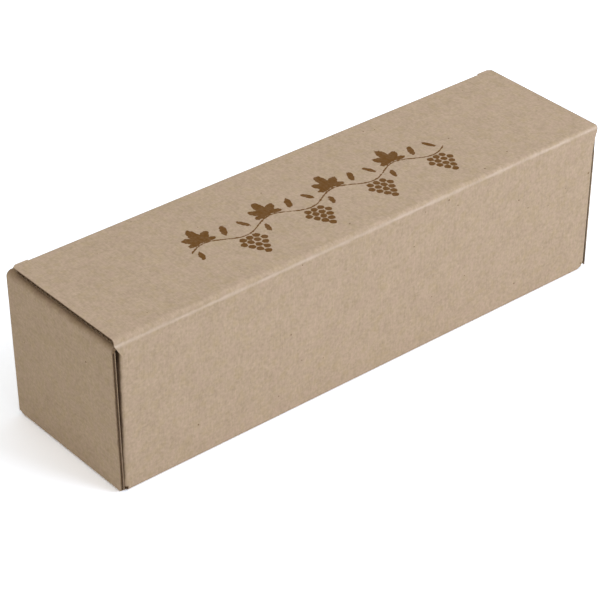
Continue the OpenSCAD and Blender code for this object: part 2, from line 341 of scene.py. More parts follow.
    def leaves(self, tree: Tree, flat: Socket) -> list[Socket]:
        """Draw the leaves that stand on the stem's high bend, lobe by lobe.

        Args:
            tree: The material's node tree.
            flat: A point's place in the repeat.

        Returns:
            Sockets with its distance outside each lobe.
        """
        shapes = []
        for share, rise, angle, long, wide in self.lobes:
            centre, turn = (share * self.repeat, rise * MM, 0.0), (0.0, 0.0, math.radians(angle))
            halves = (long * MM, wide * MM, 1.0)
            turned = add(tree, "Mapping", [flat, centre, turn, halves], vector_type="TEXTURE")[0]
            size = add(tree, "VectorMath", [turned], operation="LENGTH")["Value"]
            shapes.append(add(tree, "Math", [size, wide * MM, -wide * MM], operation="MULTIPLY_ADD")[0])
        return shapes


@dataclass(frozen=True)
class KraftLiner:
    """Unbleached kraft linerboard, pressed flat and machine finished.

    Long wood fibres lie flat in it, along the way the paper ran through the machine, so the eye sees a soft
    cloudy brown with faint streaks, a few dark bark flecks and next to no shine. The flutes glued behind it
    show through as a faint washboard. A fibre is about 0.03 mm wide and 3 mm long, too fine to show, so the
    grain and the streaks are drawn coarser.

    Args:
        name: The material's name.
        lay: How its panel lies.
        dark: The pulp's colour where it is thick; it is pale where it is thin.
        blush: The tint of its rosy patches, with olive for the green ones.
        tint_mm: The patches' size, and tinted their strength.
        fleck_cell_mm: The space that each fleck has; the largest fleck's radius is fleck_mm.
        bare_cells: The share of those spaces that have none.
        fibre_mm: A streak's width and length.
        pitch_mm: The flutes' spacing, and washboard their share of the relief.
        creases: What folds and cuts have done to it, with the painted highlights and painted shade along some
            of them.
        band: What is printed on it.
    """

    name: str
    lay: Lay
    dark: str = "A28E76"
    pale: str = "D2BAA0"
    blush: str = "C4A895"
    olive: str = "BAA37E"
    tint_mm: float = 4.5
    tinted: float = 0.4
    fleck: str = "80674A"
    fleck_cell_mm: float = 8.0
    fleck_mm: float = 0.55
    bare_cells: float = 0.3
    cloud_mm: float = 12.0
    grain_mm: float = 1.5
    fibre_mm: tuple[float, float] = (0.5, 5.0)
    pitch_mm: float = 4.4
    washboard: float = 0.25
    relief_mm: float = 0.06
    roughness: float = 0.86
    ior: float = 1.48
    gloss: float = 0.25
    creases: tuple[Crease, ...] = ()
    band: VineBand | None = None

    def mottle(self, tree: Tree, place: Socket) -> Socket:
        """Mix the paper's clouds, grain and streaks.

        Args:
            tree: The material's node tree.
            place: The paper's coordinates.

        Returns:
            A value round 0.5, darker below it and paler above.
        """
        thin, long = self.fibre_mm
        whole: Value = 0.0
        for x_mm, y_mm, detail, weight in (
            (self.cloud_mm, self.cloud_mm, 3.0, 0.25),
            (self.grain_mm, self.grain_mm, 4.0, 0.8),
            (thin, long, 2.0, 0.4),
            (3.0 * thin, 3.0 * long, 2.0, 0.1),
        ):
            spread = add(tree, "Mapping", {0: place, 3: (per_mm(x_mm), per_mm(y_mm), per_mm(x_mm))})[0]
            noise = add(tree, "TexNoise", {"Vector": spread, "Scale": 1.0, "Detail": detail})[0]
            level = add(tree, "Math", [noise, 0.5], operation="SUBTRACT")[0]
            whole = add(tree, "Math", [level, weight, whole], operation="MULTIPLY_ADD")[0]
        return add(tree, "Math", [whole, 0.5], operation="ADD")[0]

    def flecks(self, tree: Tree, place: Socket) -> Socket:
        """Scatter small bark flecks of many sizes, at most one to a cell.

        Args:
            tree: The material's node tree.
            place: The paper's coordinates.

        Returns:
            A socket that is 1 on a fleck and 0 elsewhere.
        """
        cells = add(tree, "TexVoronoi", {"Vector": place, "Scale": per_mm(self.fleck_cell_mm)})
        chance = add(tree, "SeparateColor", [cells["Color"]])[0]
        largest = self.fleck_mm / self.fleck_cell_mm
        edge = add(tree, "MapRange", [chance, self.bare_cells, 1.0, 0.0, largest])[0]
        return add(tree, "Math", [cells["Distance"], edge], operation="LESS_THAN")[0]

    def colour(self, tree: Tree, place: Socket, mottle: Socket) -> Socket:
        """Lay the paper's colours over each other: pulp, tints, folds with their wear and painted highlights
        and shade, flecks and print.

        Args:
            tree: The material's node tree.
            place: The paper's coordinates.
            mottle: The paper's mottle.

        Returns:
            A colour socket.
        """
        depth = add(tree, "MapRange", [mottle, 0.1, 0.9])[0]
        tint = add(tree, "TexNoise", {"Vector": place, "Scale": per_mm(self.tint_mm), "Detail": 3.0})[0]
        rosy = add(tree, "MapRange", [tint, 0.45, 0.75, 0.0, self.tinted])[0]
        green = add(tree, "MapRange", [tint, 0.5, 0.25, 0.0, self.tinted])[0]
        coats: list[tuple[Value, str]] = [(depth, self.pale), (rosy, self.blush), (green, self.olive)]
        coats += [(crease.worn(tree, place), crease.tint) for crease in self.creases]
        coats.append((self.flecks(tree, place), self.fleck))
        if self.band is not None:
            coats.append((self.band.inked(tree, place, mottle), self.band.ink))
        shade: Value = linear(self.dark)
        for share, coat in coats:
            shade = add(tree, "Mix", {0: share, 6: shade, 7: linear(coat)}, data_type="RGBA")[2]
        return shade

    def build(self) -> bpy.types.Material:
        """Make the material.

        Returns:
            The finished kraft paper.
        """
        material, tree = blank(self.name)
        place = self.lay.place(tree)
        mottle = self.mottle(tree, place)
        across = add(tree, "SeparateXYZ", [place])[1]
        turn = add(tree, "Math", [across, math.tau * per_mm(self.pitch_mm)], operation="MULTIPLY")[0]
        ripple = add(tree, "Math", [turn], operation="SINE")[0]
        height = add(tree, "Math", [ripple, self.washboard, mottle], operation="MULTIPLY_ADD")[0]
        relief = {"Height": height, "Strength": 0.5, "Distance": self.relief_mm * MM}
        surface = {
            "Normal": add(tree, "Bump", relief)[0],
            "Base Color": self.colour(tree, place, mottle),
            "Roughness": self.roughness,
            "IOR": self.ior,
            "Specular IOR Level": self.gloss,
        }
        add(tree, "OutputMaterial", [add(tree, "BsdfPrincipled", surface)[0]])
        return material


@dataclass(frozen=True)
class FlutedMedium:
    """Semi-chemical fluting paper, steamed and pressed between toothed rolls.

    It is shorter-fibred, darker and rougher than the liner, and its cut edges look woolly and uneven.
    """

    name: str = "fluting_paper_pressed"
    dark: str = "5A4430"
    pale: str = "927A5E"
    grain_mm: float = 1.1
    relief_mm: float = 0.08
    roughness: float = 0.93
    ior: float = 1.48
    gloss: float = 0.15

    def build(self) -> bpy.types.Material:
        """Make the material.

        Returns:
            The finished fluting paper.
        """
        material, tree = blank(self.name)
        tufts = {
            "Vector": add(tree, "TexCoord")["Object"],
            "Scale": per_mm(self.grain_mm),
            "Detail": 5.0,
            "Roughness": 0.7,
        }
        grain = add(tree, "TexNoise", tufts)[0]
        depth = add(tree, "MapRange", [grain, 0.32, 0.68])[0]
        colour = {0: depth, 6: linear(self.dark), 7: linear(self.pale)}
        relief = {"Height": grain, "Strength": 0.5, "Distance": self.relief_mm * MM}
        surface = {
            "Base Color": add(tree, "Mix", colour, data_type="RGBA")[2],
            "Normal": add(tree, "Bump", relief)[0],
            "Roughness": self.roughness,
            "IOR": self.ior,
            "Specular IOR Level": self.gloss,
        }
        add(tree, "OutputMaterial", [add(tree, "BsdfPrincipled", surface)[0]])
        return material


# ---------------------------------------------------------------- modelling moves


def near(a: float, b: float) -> bool:
    """Say whether two lengths are the same to a hundredth of a millimetre."""
    return abs(a - b) < SLIM


class Part(Enum):
    """What an edit-mode selection is made of."""

    VERTS = "VERT"
    EDGES = "EDGE"
    FACES = "FACE"


@dataclass
class Bench:
    """The bench, with one mesh on it to be worked by edit-mode moves.

    Args:
        piece: The object that holds the mesh.
    """

    piece: bpy.types.Object

    @classmethod
    def plane(cls, name: str, centre: Vector, size: tuple[float, float], turn: Triple) -> "Bench":
        """Start a sheet from a plane.

        Args:
            name: The piece's name.
            centre: The plane's middle.
            size: Its two sides before it is turned.
            turn: Its Euler turn.

        Returns:
            A bench with the plane on it.
        """
        bpy.ops.object.select_all(action="DESELECT")
        bpy.ops.mesh.primitive_plane_add(size=1, location=centre, rotation=turn)
        piece = bpy.context.object
        piece.name = piece.data.name = name
        piece.scale = (*size, 1.0)
        bpy.ops.object.transform_apply(location=True, rotation=True, scale=True)
        bpy.ops.object.mode_set(mode="EDIT")
        return cls(piece)

    @classmethod
    def copy_of(cls, name: str, node: bpy.types.Object) -> "Bench":
        """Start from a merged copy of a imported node.

        Args:
            name: The piece's name.
            node: The node to copy.

        Returns:
            A bench with the copy on it.
        """
        bpy.ops.object.select_all(action="DESELECT")
        piece = bpy.data.objects.new(name, node.data.copy())
        piece.data.name = name
        bpy.context.collection.objects.link(piece)
        piece.select_set(True)
        bpy.context.view_layer.objects.active = piece
        bpy.ops.object.mode_set(mode="EDIT")
        bpy.ops.mesh.select_all(action="SELECT")
        bpy.ops.mesh.remove_doubles(threshold=0.1 * SLIM)
        return cls(piece)

    def pick(self, part: Part, test: Test) -> int:
        """Select the elements whose corners all pass a test.

        Args:
            part: Vertices, edges or faces.
            test: Says whether a corner counts.

        Returns:
            How many were selected.
        """
        bpy.ops.mesh.select_mode(type=part.value)
        bpy.ops.mesh.select_all(action="DESELECT")
        mesh = bmesh.from_edit_mesh(self.piece.data)
        chosen = 0
        for element in {Part.VERTS: mesh.verts, Part.EDGES: mesh.edges, Part.FACES: mesh.faces}[part]:
            corners = [element] if part is Part.VERTS else element.verts
            if all(test(v.co) for v in corners):
                element.select_set(True)
                chosen += 1
        mesh.select_flush_mode()
        bmesh.update_edit_mesh(self.piece.data)
        return chosen

    def cut(self, axis: Vector, *places: float, **ends: bool) -> None:
        """Cut the whole sheet square to an axis, and keep both sides unless told otherwise.

        Args:
            axis: The axis.
            *places: Where the cuts are on it.
            **ends: What the operator does with the side past the cut.
        """
        for place in places:
            bpy.ops.mesh.select_all(action="SELECT")
            bpy.ops.mesh.bisect(plane_co=axis * place, plane_no=axis, **ends)

    def pull(self, test: Test, move: Vector) -> None:
        """Extrude the edges whose corners pass a test."""
        self.pick(Part.EDGES, test)
        bpy.ops.mesh.extrude_region_move(TRANSFORM_OT_translate={"value": move})

    def wind(self, test: Test, angle: float, steps: int, centre: Vector, axis: Vector) -> None:
        """Spin the edges that pass a test right-handed. With no window the operator turns the other way."""
        self.pick(Part.EDGES, test)
        bpy.ops.mesh.spin(steps=steps, angle=-angle, center=centre, axis=axis)

    def shift(self, test: Test, move: Vector) -> None:
        """Move the corners that pass a test."""
        if self.pick(Part.VERTS, test):
            bpy.ops.transform.translate(value=move)

    def drop(self, test: Test) -> None:
        """Delete the faces whose corners all pass a test."""
        if self.pick(Part.FACES, test):
            bpy.ops.mesh.delete(type="FACE")

    def finish(self, outward: Outward, thickness: float, smooth: float = 35.0) -> bpy.types.Object:
        """Close the sheet: merge doubles, face it outward, and give it its thickness inward.

        Args:
            outward: The way a face at a given place has to look, or a zero vector where it has no say.
            thickness: The paper's thickness.
            smooth: The angle in degrees under which edges are shaded smooth.

        Returns:
            The closed sheet.
        """
        bpy.ops.mesh.select_all(action="SELECT")
        bpy.ops.mesh.remove_doubles(threshold=0.4 * SLIM)
        bpy.ops.mesh.normals_make_consistent(inside=False)
        mesh = bmesh.from_edit_mesh(self.piece.data)
        if sum(f.normal.dot(outward(f.calc_center_median())) * f.calc_area() for f in mesh.faces) < 0:
            bpy.ops.mesh.flip_normals()
        bpy.ops.object.mode_set(mode="OBJECT")
        shell = self.piece.modifiers.new("thickness", "SOLIDIFY")
        shell.thickness = thickness
        shell.offset = -1
        shell.use_even_offset = True
        bpy.ops.object.modifier_apply(modifier=shell.name)
        bpy.ops.object.shade_smooth_by_angle(angle=math.radians(smooth))
        return self.piece


# ---------------------------------------------------------------- sub-assemblies


class Side(Enum):
    """The left or right end of the carton, by the sign of X."""

    LEFT = -1
    RIGHT = 1

    @property
    def word(self) -> str:
        """What the end is called in the names of its pieces."""
        return self.name.lower()


@dataclass(frozen=True)
class CartonSizes:
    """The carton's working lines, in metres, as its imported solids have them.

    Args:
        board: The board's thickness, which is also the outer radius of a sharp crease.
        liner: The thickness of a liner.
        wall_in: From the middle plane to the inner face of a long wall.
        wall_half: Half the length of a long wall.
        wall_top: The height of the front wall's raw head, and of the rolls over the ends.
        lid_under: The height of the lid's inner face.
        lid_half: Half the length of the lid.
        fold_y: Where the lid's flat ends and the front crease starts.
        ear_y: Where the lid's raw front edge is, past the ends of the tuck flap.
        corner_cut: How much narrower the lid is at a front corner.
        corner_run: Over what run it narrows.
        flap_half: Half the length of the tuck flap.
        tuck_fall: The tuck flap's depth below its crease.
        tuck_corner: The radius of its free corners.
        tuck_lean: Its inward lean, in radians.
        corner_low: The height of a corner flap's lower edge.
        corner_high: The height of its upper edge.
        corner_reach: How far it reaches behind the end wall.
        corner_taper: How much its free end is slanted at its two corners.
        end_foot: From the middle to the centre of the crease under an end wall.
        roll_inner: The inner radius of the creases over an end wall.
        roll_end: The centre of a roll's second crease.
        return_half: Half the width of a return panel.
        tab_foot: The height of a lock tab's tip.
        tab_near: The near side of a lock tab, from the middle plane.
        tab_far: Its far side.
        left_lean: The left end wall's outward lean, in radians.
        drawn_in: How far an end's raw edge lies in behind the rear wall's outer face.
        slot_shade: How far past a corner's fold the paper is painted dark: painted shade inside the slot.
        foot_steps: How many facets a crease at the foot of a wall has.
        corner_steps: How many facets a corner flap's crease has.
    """

    board: float = 2.2 * MM
    liner: float = 0.25 * MM
    wall_in: float = 44.1 * MM
    wall_half: float = 166.8 * MM
    wall_top: float = 92.6 * MM
    lid_under: float = 94.4 * MM
    lid_half: float = 172.5 * MM
    fold_y: float = 41.4 * MM
    ear_y: float = 43.16 * MM
    corner_cut: float = 2.4 * MM
    corner_run: float = 6.0 * MM
    flap_half: float = 162.3 * MM
    tuck_fall: float = 23.8 * MM
    tuck_corner: float = 12.0 * MM
    tuck_lean: float = math.radians(9.375)
    corner_low: float = 2.5 * MM
    corner_high: float = 88.91 * MM
    corner_reach: float = 36.0 * MM
    corner_taper: float = 4.0 * MM
    end_foot: float = 169.3 * MM
    roll_inner: float = 1.19 * MM
    roll_end: float = 167.69 * MM
    return_half: float = 43.8 * MM
    tab_foot: float = 0.5 * MM
    tab_near: float = 15.15 * MM
    tab_far: float = 31.15 * MM
    left_lean: float = math.radians(1.5)
    drawn_in: float = 0.3 * MM
    slot_shade: float = 2.8 * MM
    foot_steps: int = 8
    corner_steps: int = 10

    @property
    def wall_out(self) -> float:
        """From the middle plane to the outer face of a long wall."""
        return self.wall_in + self.board

    @property
    def lid_top(self) -> float:
        """The height of the lid's outer face."""
        return self.lid_under + self.board

    @property
    def hinge_centre(self) -> Vector:
        """The centre of the rear crease."""
        return Vector((0, -self.wall_in, self.lid_under))

    @property
    def front_centre(self) -> Vector:
        """The centre of the front crease."""
        return Vector((0, self.fold_y, self.lid_under))

    @property
    def hinge_line(self) -> float:
        """The middle of the rear crease on the unfolded sheet."""
        return -self.wall_in - self.board * QUARTER / 2

    @property
    def front_line(self) -> float:
        """The middle of the front crease on the unfolded sheet."""
        return self.fold_y + self.board * (QUARTER + self.tuck_lean) / 2

    @property
    def tuck_down(self) -> Vector:
        """The way the tuck flap hangs."""
        return Vector((0, -math.sin(self.tuck_lean), -math.cos(self.tuck_lean)))

    @property
    def tuck_out(self) -> Vector:
        """The way the tuck flap's outer face looks."""
        return Vector((0, math.cos(self.tuck_lean), -math.sin(self.tuck_lean)))

    def unfolded(self, point: Vector) -> Vector:
        """Unroll a point of the lid's sheet or the tuck flap's on to the lid's plane.

        Args:
            point: A point on the sheet or just under it.

        Returns:
            Its place on the flat sheet, where X and Y are the lid's own.
        """
        over = point - self.front_centre
        past = over.dot(self.tuck_down)
        turn = math.atan2(over.y, over.z)
        if point.y > 0 and past > 0 and turn > QUARTER:
            return Vector((point.x, self.fold_y + self.board * (QUARTER + self.tuck_lean) + past, 0.0))
        if over.y > 0 and over.yz.length < 1.1 * self.board and abs(point.x) < self.flap_half + 0.1 * MM:
            return Vector((point.x, self.fold_y + self.board * turn, self.board))
        back = point - self.hinge_centre
        if back.y >= 0 and point.z > self.wall_top:
            return Vector((point.x, point.y, back.z))
        if back.z >= 0:
            turn = math.atan2(-back.y, back.z)
            return Vector((point.x, -self.wall_in - self.board * turn, back.yz.length))
        fallen = -self.wall_in - self.board * QUARTER + back.z
        beyond = abs(point.x) - self.wall_half
        # Round a corner flap's fold the third coordinate counts the way past the fold, up to the width of the
        # painted shade inside the slot.
        if beyond > 0 and -back.y < self.board - 1.1 * self.liner:
            round_the_corner = self.board * min(math.atan2(beyond, -back.y), QUARTER) + max(back.y, 0.0)
            flat = math.copysign(self.wall_half + round_the_corner, point.x)
            return Vector((flat, fallen, self.board + min(round_the_corner, self.slot_shade)))
        return Vector((point.x, fallen, -back.y))


SIZES = CartonSizes()


@dataclass
class Sheet(ABC):
    """One sheet of paper in its place on the carton. Its piece is there once it is built."""

    piece: bpy.types.Object = field(init=False)

    @abstractmethod
    def build(self) -> None:
        """Fold the sheet up and keep it as the piece."""

    @abstractmethod
    def dress(self) -> None:
        """Give the sheet its paper and its place among the carton's bodies."""


@dataclass
class Liner(Sheet):
    """A sheet of liner, folded up anew round its creases.

    Args:
        finish: Its paper.
    """

    finish: KraftLiner

    def unroll(self) -> None:
        """Store each point's place on the flat paper, so that the pattern bends with the sheet."""
        mesh = self.piece.data
        flat = [c for v in mesh.vertices for c in SIZES.unfolded(v.co)]
        mesh.attributes.new(SHEET_PLACE, "FLOAT_VECTOR", "POINT").data.foreach_set("vector", flat)

    def cover(self, slot: str) -> None:
        """Put the paper on the sheet.

        Args:
            slot: The record's material slot that it stands for; not used.
        """
        self.piece.data.materials.clear()
        self.piece.data.materials.append(self.finish.build())


def fold_corner_flaps(bench: Bench, side_y: int) -> None:
    """Fold the two corner flaps of a long wall back behind the end walls.

    Args:
        bench: The bench with the wall's sheet on it.
        side_y: The sign of Y on which the wall stands.
    """
    s = SIZES
    bench.cut(Z_AXIS, s.corner_low, s.corner_high)
    face = side_y * s.wall_out
    for side in Side:
        x = side.value * s.wall_half
        bench.wind(
            lambda c: near(c.x, x) and near(c.y, face) and s.corner_low - SLIM < c.z < s.corner_high + SLIM,
            -side.value * side_y * QUARTER,
            s.corner_steps,
            Vector((x, side_y * s.wall_in, 0)),
            Z_AXIS,
        )
        end_x = x + side.value * s.board
        back = Y_AXIS * -side_y * s.corner_reach
        bench.pull(lambda c: near(c.x, end_x) and near(c.y, side_y * s.wall_in), back)
    tip = side_y * (s.wall_in - s.corner_reach)
    for z, move in ((s.corner_low, s.corner_taper), (s.corner_high, -s.corner_taper)):
        bench.shift(lambda c: near(c.y, tip) and near(c.z, z), Z_AXIS * move)


@dataclass
class HingedLiner(Liner):
    """The outer liner of the rear wall, its corner flaps and the lid: one sheet round the rear crease.

    Args:
        crease_steps: How many facets the rear crease has.
        ears_mm: The slit's way down the wall at the left and right end, as pairs of depth under the lid and
            width past the wall's fold.
    """

    crease_steps: int = 16
    ears_mm: tuple[Ear, Ear] = (
        ((1.8, 5.1), (4.2, 3.8), (6.9, 2.2), (9.4, 0.8), (9.9, 0.0)),
        ((1.9, 5.5), (3.9, 4.8), (8.4, 3.9), (14.0, 3.2), (88.5, 2.9), (91.0, 2.2), (92.0, 0.0)),
    )

    def build(self) -> None:
        """Fold the sheet up from the foot crease and over the carton."""
        s = SIZES
        rise = s.lid_under - s.board
        centre = Vector((0, -s.wall_out, s.board + rise / 2))
        bench = Bench.plane("hinged_outer_liner", centre, (2 * s.lid_half, rise), (QUARTER, 0.0, 0.0))
        foot = Vector((0, -s.wall_in, s.board))
        bench.wind(lambda c: near(c.z, s.board), QUARTER, s.foot_steps, foot, X_AXIS)
        bench.wind(lambda c: near(c.z, s.lid_under), -QUARTER, self.crease_steps, s.hinge_centre, X_AXIS)
        reach = Y_AXIS * (s.ear_y + s.wall_in)
        bench.pull(lambda c: near(c.z, s.lid_top) and near(c.y, -s.wall_in), reach)
        bench.cut(Y_AXIS, s.ear_y - s.corner_run, s.fold_y)
        self.trim(bench)
        fold_corner_flaps(bench, -1)

        def outward(c: Vector) -> Vector:
            """Look back from the wall and up from the lid."""
            on_wall = c.z < s.lid_under and c.y < SLIM - s.wall_out
            return -Y_AXIS if on_wall else Z_AXIS if c.z > s.lid_top - SLIM else Vector()

        self.piece = bench.finish(outward, s.liner)

    def trim(self, bench: Bench) -> None:
        """Cut the sheet's ends: the lid's front corners, its notch for the tuck flap, and the slits.

        Args:
            bench: The bench with the sheet on it.
        """
        s = SIZES
        bench.cut(X_AXIS, -s.flap_half, s.flap_half, -s.wall_half, s.wall_half)
        bench.drop(lambda c: abs(c.x) < s.flap_half + SLIM and c.y > s.fold_y - SLIM)
        drops = sorted({drop * MM for ear in self.ears_mm for drop, _ in ear})
        bench.cut(Z_AXIS, *(s.lid_under - drop for drop in drops))
        for side, ear_mm in zip(Side, self.ears_mm):
            bench.shift(
                lambda c: near(c.x, side.value * s.lid_half) and near(c.y, s.ear_y),
                X_AXIS * -side.value * s.corner_cut,
            )
            self.slit(bench, side, ear_mm, drops)

    def slit(self, bench: Bench, side: Side, ear_mm: Ear, drops: list[float]) -> None:
        """Cut the sheet along the slit between the lid and a corner flap, which leaves an ear on the wall.

        Args:
            bench: The bench with the sheet on it.
            side: The end that the ear is at.
            ear_mm: The ear's outline.
            drops: The depths under the lid at which the wall is cut across.
        """
        s = SIZES
        ear = [(0.0, s.lid_half - s.wall_half), *((drop * MM, width * MM) for drop, width in ear_mm)]
        lowest = s.lid_under - ear[-1][0]
        bench.drop(lambda c: side.value * c.x > s.wall_half - SLIM and c.z < lowest + SLIM and c.y < 0)
        for (above, wide), (below, narrow) in zip(ear, ear[1:]):
            for drop in drops:
                if above < drop <= below:
                    width = wide + (narrow - wide) * (drop - above) / (below - above)
                    bench.shift(
                        lambda c: near(c.x, side.value * s.lid_half) and near(c.z, s.lid_under - drop),
                        X_AXIS * side.value * (s.wall_half + width - s.lid_half),
                    )

    def dress(self) -> None:
        """Give the sheet its paper, fix its place in its points and hide the plies that it stands for."""
        self.unroll()
        self.cover("outer_liner")
        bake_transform(self.piece)
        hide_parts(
            "rear_wall_outer_liner",
            "lid_outer_liner",
            "rear_left_flap_outer_liner",
            "rear_right_flap_outer_liner",
        )


@dataclass
class FrontLiner(Liner):
    """The outer liner of the front wall and its two corner flaps."""

    def build(self) -> None:
        """Stand the wall up from its foot crease and fold its flaps back."""
        s = SIZES
        rise = s.wall_top - s.board
        centre = Vector((0, s.wall_out, s.board + rise / 2))
        bench = Bench.plane("front_outer_liner", centre, (2 * s.wall_half, rise), (QUARTER, 0.0, 0.0))
        foot = Vector((0, s.wall_in, s.board))
        bench.wind(lambda c: near(c.z, s.board), -QUARTER, s.foot_steps, foot, X_AXIS)
        fold_corner_flaps(bench, 1)
        self.piece = bench.finish(lambda c: Y_AXIS if c.y > s.wall_out - SLIM else Vector(), s.liner)

    def dress(self) -> None:
        """Give the sheet its paper and stand it on the tray."""
        self.cover("outer_liner")
        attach(self.piece, "tray")
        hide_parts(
            "front_wall_outer_liner",
            "front_left_flap_outer_liner",
            "front_right_flap_outer_liner",
        )


@dataclass
class EndLiner(Liner):
    """The outer liner of one end wall, its roll and the return panel with its two lock tabs.

    Args:
        side: Which end it is.
        lean: The wall's outward lean, in radians.
        lip: How far the liner's raw rear edge is crushed over the flutes, or 0 for a clean cut.
        lip_top: The height up to which it is crushed.
        lip_ease: Over what height it eases off there.
        crease_steps: How many facets a crease over the wall has.
    """

    side: Side
    lean: float = 0.0
    lip: float = 0.0
    lip_top: float = 80.0 * MM
    lip_ease: float = 1.0 * MM
    crease_steps: int = 12

    def build(self) -> None:
        """Stand the wall up from its foot crease, roll it over and push the return panel home."""
        s = SIZES
        sign = self.side.value
        up = Vector((sign * math.sin(self.lean), 0, math.cos(self.lean)))
        out = Vector((sign * math.cos(self.lean), 0, -math.sin(self.lean)))
        foot = Vector((sign * s.end_foot, 0, s.board))
        return_top = s.wall_top - s.board - s.roll_inner
        rise = (return_top - s.board - s.roll_inner * math.sin(self.lean)) / math.cos(self.lean)
        first = foot + up * rise - out * s.roll_inner
        bench = Bench.plane(
            f"{self.side.word}_end_outer_liner",
            foot + out * s.board + up * rise / 2,
            (rise, 2 * s.wall_out),
            (0.0, -(QUARTER - sign * self.lean), 0.0),
        )
        bench.cut(Y_AXIS, s.wall_in, -s.wall_in)
        low, high = sign * (QUARTER - self.lean), -sign * (QUARTER + self.lean)
        bench.wind(
            lambda c: near((c - foot).dot(up), 0) and abs(c.y) < s.wall_in + SLIM,
            low,
            s.foot_steps,
            foot,
            Y_AXIS,
        )
        bench.wind(lambda c: near((c - foot).dot(up), rise), high, self.crease_steps, first, Y_AXIS)
        bench.pull(lambda c: near(c.z, s.wall_top), X_AXIS * -sign * (abs(first.x) - s.roll_end))
        lines = (s.return_half, s.tab_near, s.tab_far)
        bench.cut(Y_AXIS, *(way * y for y in lines for way in (1, -1)))
        self.push_home(bench, return_top)
        if self.lip:
            bench.cut(Y_AXIS, s.drawn_in - s.wall_out)
            bench.cut(Z_AXIS, self.lip_top, self.lip_top - self.lip_ease)
        lowest = self.lip_top - SLIM if self.lip else 0.0
        bench.shift(lambda c: near(c.y, -s.wall_out) and c.z > lowest, Y_AXIS * s.drawn_in)
        self.piece = bench.finish(
            lambda c: out if c.z < return_top and abs(c.x) > s.end_foot else Vector(), s.liner
        )
        if self.lip:
            bpy.ops.object.mode_set(mode="EDIT")
            inner = sign * (s.end_foot + s.board - s.liner)
            bench.shift(lambda c: near(c.y, -s.wall_out) and near(c.x, inner), X_AXIS * -sign * self.lip)
            bpy.ops.object.mode_set(mode="OBJECT")

    def push_home(self, bench: Bench, return_top: float) -> None:
        """Turn the return panel down inside the wall and draw its lock tabs.

        Args:
            bench: The bench with the wall and its roll on it.
            return_top: The height at which the panel starts.
        """
        s = SIZES
        sign = self.side.value
        inner = sign * s.roll_end
        bench.wind(
            lambda c: near(c.z, s.wall_top) and near(c.x, inner) and abs(c.y) < s.return_half + SLIM,
            -sign * QUARTER,
            self.crease_steps,
            Vector((inner, 0, return_top)),
            Y_AXIS,
        )
        face = sign * (s.roll_end - s.roll_inner - s.board)
        fall = Z_AXIS * (s.corner_low - return_top)
        bench.pull(lambda c: near(c.z, return_top) and near(c.x, face), fall)
        bench.pull(
            lambda c: near(c.z, s.corner_low)
            and near(c.x, face)
            and s.tab_near - SLIM < abs(c.y) < s.tab_far + SLIM,
            Z_AXIS * (s.tab_foot - s.corner_low),
        )

    def dress(self) -> None:
        """Give the sheet its paper and stand it on the tray."""
        self.cover("outer_liner")
        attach(self.piece, "tray")
        end = self.side.word
        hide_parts(*(f"{end}_{panel}_outer_liner" for panel in ("end", "roll", "return")))


@dataclass
class DrawnPly(Sheet):
    """A ply of an end wall or its roll, with its raw edge drawn in behind the rear wall's face.

    Args:
        node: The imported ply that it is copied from.
        slot: How far it is cut back from the raw edge, or 0 where it is only drawn in.
    """

    node: bpy.types.Object
    slot: float = 0.0

    def build(self) -> None:
        """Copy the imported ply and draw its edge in, or cut it back by the slot's depth."""
        s = SIZES
        bench = Bench.copy_of(f"{self.node.name}_drawn_in", self.node)
        if self.slot:
            bench.cut(-Y_AXIS, s.wall_out - self.slot, clear_outer=True, use_fill=True)
        bench.shift(lambda c: c.y < 2 * SLIM - s.wall_out, Y_AXIS * s.drawn_in)
        bpy.ops.object.mode_set(mode="OBJECT")
        self.piece = bench.piece

    def dress(self) -> None:
        """Stand the ply on the tray; it keeps the paper of the ply that it stands for."""
        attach(self.piece, "tray")
        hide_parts(self.node.name)


@dataclass
class TuckLiner(Liner):
    """The outer liner of the tuck flap, with the front crease that it hangs from.

    Args:
        crease_steps: How many facets the front crease has.
        corner_steps: How many a rounded corner has.
    """

    crease_steps: int = 14
    corner_steps: int = 12

    def build(self) -> None:
        """Cut the flap with its two round corners and roll its head round the crease."""
        s = SIZES
        down, out = s.tuck_down, s.tuck_out
        head = s.front_centre + out * s.board
        centre = head + down * s.tuck_fall / 2
        turn = (QUARTER - s.tuck_lean, 0.0, 0.0)
        bench = Bench.plane("tuck_outer_liner", centre, (2 * s.flap_half, s.tuck_fall), turn)
        bench.pick(Part.VERTS, lambda c: (c - head).dot(down) > s.tuck_fall / 2)
        bpy.ops.mesh.bevel(offset=s.tuck_corner, segments=self.corner_steps, affect="VERTICES")
        angle, centre = QUARTER + s.tuck_lean, s.front_centre
        bench.wind(lambda c: near((c - head).dot(down), 0), angle, self.crease_steps, centre, X_AXIS)
        self.piece = bench.finish(lambda c: out if (c - head).dot(down) > 0 else Vector(), s.liner)

    def dress(self) -> None:
        """Give the flap its paper, fix its place in its points and hide the ply that it stands for."""
        self.unroll()
        self.cover("outer_liner")
        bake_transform(self.piece)
        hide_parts("tuck_flap_outer_liner")


